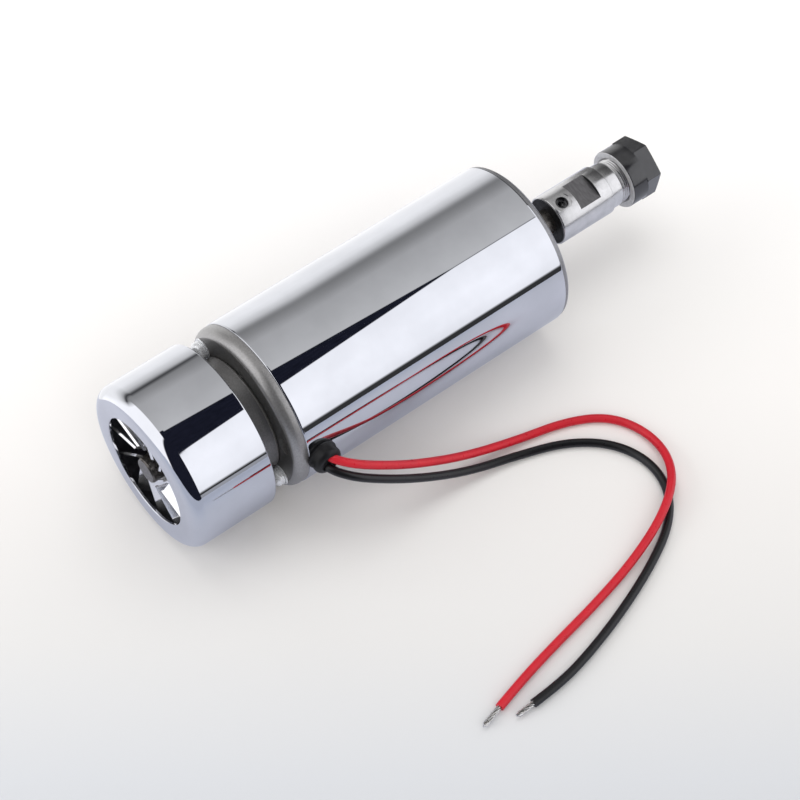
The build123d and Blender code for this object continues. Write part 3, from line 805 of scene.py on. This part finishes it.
class SPINDLE_OT_grommet(bpy.types.Operator):
    """Soft rubber grommet with a rounded lip round the two leads"""
    bl_idname = "spindle.grommet"
    bl_label = "Grommet"

    def execute(self, context):
        low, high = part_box("grommet")
        middle_x, middle_z = (low.x + high.x) / 2, (low.z + high.z) / 2
        radius = (high.x - low.x) / 2 / MM
        face, neck_end, neck, flange = -low.y / MM, 24.3, 3.5, 25.6
        outline = [(neck_end, 0.0), (neck_end, neck), (flange, neck), (flange, radius - 0.5)] \
            + arc(flange + 0.8, radius - 0.45, 0.45, 120, 60, 3) \
            + [(flange + 1.6, radius - 0.35)] \
            + arc(face - 1.7, radius - 1.95, 1.7, 80, 0, 8) + [(face, 2.9)] \
            + arc(face, 2.5, 0.4, 90, 180, 3) + [(face - 0.6, 0.0)]
        bm = bmesh.new()
        spin(bm, outline, 64)
        bmesh.ops.rotate(bm, verts=bm.verts, cent=(0, 0, 0),
                         matrix=Matrix.Rotation(-pi / 2, 3, "Z"))
        bmesh.ops.translate(bm, vec=(middle_x, 0, middle_z), verts=bm.verts)
        place("grommet_dressed", mesh_of(bm, "grommet"), "grommet_rubber",
              "housing", ["grommet"])
        return {"FINISHED"}


def lead_curve(name, route, diameter):
    """The lead's own line, with its route as the spline's control points."""
    curve = bpy.data.curves.new(name, "CURVE")
    curve.dimensions = "3D"
    spline = curve.splines.new("NURBS")
    spline.points.add(len(route) - 1)
    for point, place_mm in zip(spline.points, route):
        point.co = (*[c * MM for c in place_mm], 1.0)
    spline.order_u = 3
    spline.use_endpoint_u = True
    spline.resolution_u = 12
    curve.bevel_depth = diameter / 2
    curve.bevel_resolution = 6
    curve.use_fill_caps = True
    return curve


def bare_end(name, route, strand, reach):
    """Six twisted strands round a core, in line with the lead's last run."""
    tip, before = Vector(route[-1]) * MM, Vector(route[-2]) * MM
    run = (tip - before).normalized()
    bm = bmesh.new()
    radius, lay, steps, twist = strand / 2, strand * 0.98, 28, radians(200)
    for k in range(7):
        offset = Vector((0, lay, 0)) if k else Vector((0, 0, 0))
        section = bmesh.ops.create_circle(bm, cap_ends=True, segments=10, radius=radius,
                                          matrix=Matrix.Rotation(pi / 2, 4, "Y"))["verts"]
        bmesh.ops.translate(bm, vec=offset, verts=section)
        bmesh.ops.rotate(bm, verts=section, cent=(0, 0, 0),
                         matrix=Matrix.Rotation(tau * k / 6, 3, "X"))
        faces = list({f for v in section for f in v.link_faces})
        geometry = faces + list({e for f in faces for e in f.edges}) + section
        trim = reach * (1.0 - 0.05 * ((k * 3) % 4))
        bmesh.ops.spin(bm, geom=geometry, cent=(0, 0, 0), axis=(1, 0, 0), angle=twist,
                       steps=steps, dvec=(trim / steps, 0, 0), use_duplicate=False)
    turn = Vector((1, 0, 0)).rotation_difference(run).to_matrix()
    bmesh.ops.rotate(bm, verts=bm.verts, cent=(0, 0, 0), matrix=turn)
    bmesh.ops.translate(bm, vec=tip - run * 0.3 * MM, verts=bm.verts)
    return mesh_of(bm, name, 60)


LEADS = (("red", RED_ROUTE, 227.99), ("black", BLACK_ROUTE, 210.84))


class SPINDLE_OT_leads(bpy.types.Operator):
    """Red and black leads with their tinned ends"""
    bl_idname = "spindle.leads"
    bl_label = "Leads"

    def execute(self, context):
        sizes = context.scene.spindle_sizes
        for tint, route, run in LEADS:
            reach = (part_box(tint + "_tinned_end")[1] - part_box(tint + "_tinned_end")[0]).length
            end = place(tint + "_bare_strands",
                        bare_end(tint + "_bare_strands", route, sizes.strand_diameter,
                                 reach * 0.97),
                        "tinned_strand", "housing", [tint + "_tinned_end"])
            curve = lead_curve(tint + "_insulation", route, sizes.lead_diameter)
            lead = place(tint + "_lead_dressed", curve, tint + "_insulation",
                         "housing", [tint + "_lead"])
        return {"FINISHED"}


# ---- stage -----------------------------------------------------------
CAMERA_PLACE = Vector((-0.29316, -0.31959, 0.52331))
CAMERA_TARGET = Vector((-0.06098, -0.02460, 0.0))
LENS, SENSOR = 101.86, 36.0


def studio_world():
    """Even white light, and a studio of panels for what shines to reflect."""
    world = bpy.data.worlds.new("studio")
    bpy.context.scene.world = world
    world.use_nodes = True
    world.node_tree.nodes.clear()
    studio = Tree(world.node_tree)
    maths, mix = studio.maths, studio.mix

    def share(value, start, width, clamp=True):
        """How far a value lies past a start, in widths."""
        return maths("DIVIDE", maths("SUBTRACT", value, start), width, clamp=clamp)

    def held(value, low, high):
        return maths("MINIMUM", maths("MAXIMUM", value, low), high)

    def panels(stops, tint):
        return studio.ramp(turn, [(at, [level * t for t in tint]) for at, level in stops])

    view = studio.add("TexCoord").outputs["Generated"]
    direction = studio.add("SeparateXYZ", Vector=view)
    along, side, height = (direction.outputs[axis] for axis in "XYZ")
    # share of a full turn round X, from the far side over the top to the near side
    raw = maths("DIVIDE", maths("ARCTAN2", height, side), tau)
    turn = maths("SUBTRACT", maths("FRACT", maths("ADD", raw, 0.25)), 0.25)

    # the far wall and the ceiling, with a crease between them
    shift = held(maths("MULTIPLY_ADD", along, -0.5, 0.1725), 0.0, 0.035)
    ceiling = ((0.0, 1.26), (0.024, 1.17), (0.0575, 0.83), (0.083, 0.36), (0.093, 0.30),
               (0.108, 0.34), (0.125, 0.40), (0.159, 0.57), (0.227, 0.64), (0.29, 0.74))
    back = studio.ramp(maths("ADD", turn, shift),
                       [(at, (level, level, level * 1.01)) for at, level in ceiling])
    crease = maths("SUBTRACT", 1.0, maths("DIVIDE", maths(
        "ABSOLUTE", maths("SUBTRACT", turn, 0.056)), 0.016), clamp=True)
    rear = share(0.312, along, 0.008)
    back = mix(maths("MULTIPLY", maths("MULTIPLY", crease, rear), 0.85), back,
               (0.03, 0.03, 0.035))
    nose = share(along, 0.476, 0.006)
    back = mix(maths("MULTIPLY", nose, 0.85), back, (0.02, 0.02, 0.024))

    # the soft box on the near side, down to the horizon
    box = panels(((0.24, 1.28), (0.35, 1.40), (0.40, 1.47), (0.46, 1.42), (0.495, 1.30),
                  (0.503, 1.25), (0.5045, 0.05), (1.0, 0.05)), (0.985, 0.99, 1.03))
    below = maths("MULTIPLY", rear, maths("GREATER_THAN", turn, 0.513))
    box = mix(below, box, (0.45, 0.46, 0.5))

    # a dark gap between the ceiling and the soft box, wider towards the rear
    half = held(maths("MULTIPLY_ADD", along, -0.3254, 0.1336), 0.0010, 0.05)
    centre = maths("MULTIPLY_ADD", nose, -0.055, 0.2995)
    near = share(turn, maths("SUBTRACT", centre, half), 0.002)
    across = share(turn, maths("ADD", half, centre), 0.03, clamp=False)
    reach = share(along, 0.2665, 0.009, clamp=False)
    corner_u, corner_v = (maths("MAXIMUM", maths("SUBTRACT", 1.0, distance), 0.0)
                          for distance in (across, reach))
    outside = maths("SQRT", maths("ADD", maths("MULTIPLY", corner_u, corner_u),
                                  maths("MULTIPLY", corner_v, corner_v)))
    lit = share(1.0, outside, 0.08)
    grain = studio.add("TexNoise", Scale=260, Vector=view)
    gap = mix(share(grain.outputs["Fac"], 0.4, 0.2), (0.006, 0.007, 0.013),
              (0.022, 0.024, 0.043))
    room = mix(near, back, mix(lit, gap, box))
    wall = maths("MULTIPLY", share(-0.22, along, 0.06),
                 maths("MULTIPLY", share(side, -0.18, 0.06), share(0.85, side, 0.12)))
    room = mix(wall, room, (1.5, 1.5, 1.54))

    paths = studio.add("LightPath").outputs
    even = studio.add("Background", Color=(1.0, 0.995, 0.99, 1.0), Strength=0.75)
    shiny = studio.add("Background", Color=room)
    seen = studio.add("Background", Color=(0.98, 0.975, 0.97, 1.0))
    lights = studio.mix_shaders(paths["Is Glossy Ray"], even.outputs[0], shiny.outputs[0])
    studio.add("OutputWorld", Surface=studio.mix_shaders(paths["Is Camera Ray"], lights,
                                                         seen.outputs[0]))


def area_light(name, place_m, aim, size, power):
    light = bpy.data.lights.new(name, "AREA")
    light.shape = "RECTANGLE"
    light.size, light.size_y = size
    light.energy = power
    lamp = bpy.data.objects.new(name, light)
    lamp.location = place_m
    lamp.rotation_euler = (Vector(aim) - Vector(place_m)).to_track_quat("-Z", "Y").to_euler()
    lamp.visible_glossy = False
    bpy.context.scene.collection.objects.link(lamp)


def floor_finish(mesh):
    """A pale card with painted shade, darker and bluer towards the near edge, and painted light
    lifting it round the spindle. What shines sees the card in a bluer painted reflection tint,
    only as far as the table goes, and the studio past it."""
    finish = Finish("floor_card", (0.9, 0.89, 0.87), 0.0, 0.7, Specular_IOR_Level=0.2)
    away, reach, table_middle, table_half = (0.6185, 0.7858, 0), 0.2, -0.1, 0.158
    depth = finish.add("VectorMath")
    depth.operation = "DOT_PRODUCT"
    finish.feed(depth.inputs[0], finish.coords)
    finish.feed(depth.inputs[1], away)
    share = finish.add("MapRange", Value=depth.outputs["Value"], From_Min=-reach,
                       From_Max=reach)
    # Painted shade and light: the card darkens and blues towards the near edge and is lifted round
    # the spindle against its shadow.
    stops = ((-0.18, (0.60, 0.613, 0.64)), (-0.163, (0.638, 0.652, 0.68)),
             (-0.12, (0.742, 0.734, 0.728)), (-0.075, (0.822, 0.803, 0.789)),
             (-0.035, (0.905, 0.884, 0.868)), (0.0, (0.945, 0.928, 0.913)),
             (0.04, (0.985, 0.969, 0.96)), (0.12, (1.0, 0.985, 0.98)))
    card = finish.ramp(share.outputs["Result"],
                       [((at + reach) / (2 * reach), base) for at, base in stops])
    # Painted reflection tint: glossy rays see the card bluer and darker.
    glossy = finish.add("LightPath").outputs["Is Glossy Ray"]
    finish.feed(finish.shader.inputs["Base Color"],
                finish.mix(glossy, card, (0.80, 0.84, 0.97), "MULTIPLY"))
    side = finish.add("SeparateXYZ", Vector=finish.coords).outputs["Y"]
    on_table = finish.maths("COMPARE", side, table_middle, table_half)
    past = finish.maths("SUBTRACT", glossy, on_table, clamp=True)
    clear = finish.mix_shaders(past, finish.shader.outputs[0],
                               finish.add("BsdfTransparent").outputs[0])
    finish.feed(finish.nodes["Material Output"].inputs["Surface"], clear)
    mesh.materials.append(finish.material)


class SPINDLE_OT_stage(bpy.types.Operator):
    """Pale floor, soft lamps and the camera"""
    bl_idname = "spindle.stage"
    bl_label = "Stage"

    def execute(self, context):
        studio_world()
        floor_z = -context.scene.spindle_sizes.barrel_radius
        bm = bmesh.new()
        bmesh.ops.create_grid(bm, x_segments=1, y_segments=1, size=3.0)
        bmesh.ops.translate(bm, vec=(0, 0, floor_z), verts=bm.verts)
        mesh = bpy.data.meshes.new("floor")
        bm.to_mesh(mesh)
        bm.free()
        floor_finish(mesh)
        floor = bpy.data.objects.new("floor", mesh)
        context.scene.collection.objects.link(floor)
        area_light("key_panel", (-0.25, -0.85, 0.75), (-0.04, -0.02, 0), (0.9, 0.9), 3.1)
        area_light("left_panel", (-0.75, 0.30, 0.30), (-0.13, 0, 0), (0.5, 0.5), 2.4)
        area_light("top_panel", (0.05, 0.25, 1.1), (-0.04, 0, 0), (0.9, 0.7), 2.45)
        camera = bpy.data.cameras.new("camera")
        camera.lens, camera.sensor_width = LENS, SENSOR
        camera.clip_start, camera.clip_end = 0.01, 20.0
        view = bpy.data.objects.new("camera", camera)
        view.location = CAMERA_PLACE
        view.rotation_euler = (CAMERA_TARGET - CAMERA_PLACE).to_track_quat("-Z", "Y").to_euler()
        context.scene.collection.objects.link(view)
        context.scene.camera = view
        context.scene.view_settings.view_transform = "Standard"
        return {"FINISHED"}


class SPINDLE_PT_panel(bpy.types.Panel):
    """Lists the pieces and their sizes and colours"""
    bl_idname = "SPINDLE_PT_panel"
    bl_label = "Motor spindle"
    bl_space_type = "VIEW_3D"
    bl_region_type = "UI"
    bl_category = "Spindle"

    def draw(self, context):
        for group in (context.scene.spindle_sizes, context.scene.spindle_colours):
            for name in group.__annotations__:
                self.layout.prop(group, name)
        for operator in OPERATORS:
            self.layout.operator(operator.bl_idname)


OPERATORS = (SPINDLE_OT_finishes, SPINDLE_OT_barrel, SPINDLE_OT_end_caps,
             SPINDLE_OT_fan_cover, SPINDLE_OT_fan, SPINDLE_OT_tie_bolts,
             SPINDLE_OT_collet_rod, SPINDLE_OT_collet_nut, SPINDLE_OT_grommet,
             SPINDLE_OT_leads, SPINDLE_OT_stage)
CLASSES = (SpindleSizes, SpindleColours, *OPERATORS, SPINDLE_PT_panel)


def register():
    for cls in CLASSES:
        bpy.utils.register_class(cls)
    bpy.types.Scene.spindle_sizes = bpy.props.PointerProperty(type=SpindleSizes)
    bpy.types.Scene.spindle_colours = bpy.props.PointerProperty(type=SpindleColours)


def unregister():
    del bpy.types.Scene.spindle_colours
    del bpy.types.Scene.spindle_sizes
    for cls in reversed(CLASSES):
        bpy.utils.unregister_class(cls)


def main():
    register()
    bpy.ops.spindle.finishes()
    bpy.ops.spindle.barrel()
    bpy.ops.spindle.end_caps()
    bpy.ops.spindle.fan_cover()
    bpy.ops.spindle.fan()
    bpy.ops.spindle.tie_bolts()
    bpy.ops.spindle.collet_rod()
    bpy.ops.spindle.collet_nut()
    bpy.ops.spindle.grommet()
    bpy.ops.spindle.leads()
    bpy.ops.spindle.stage()
    bpy.context.view_layer.update()


if __name__ == "__main__":
    main()
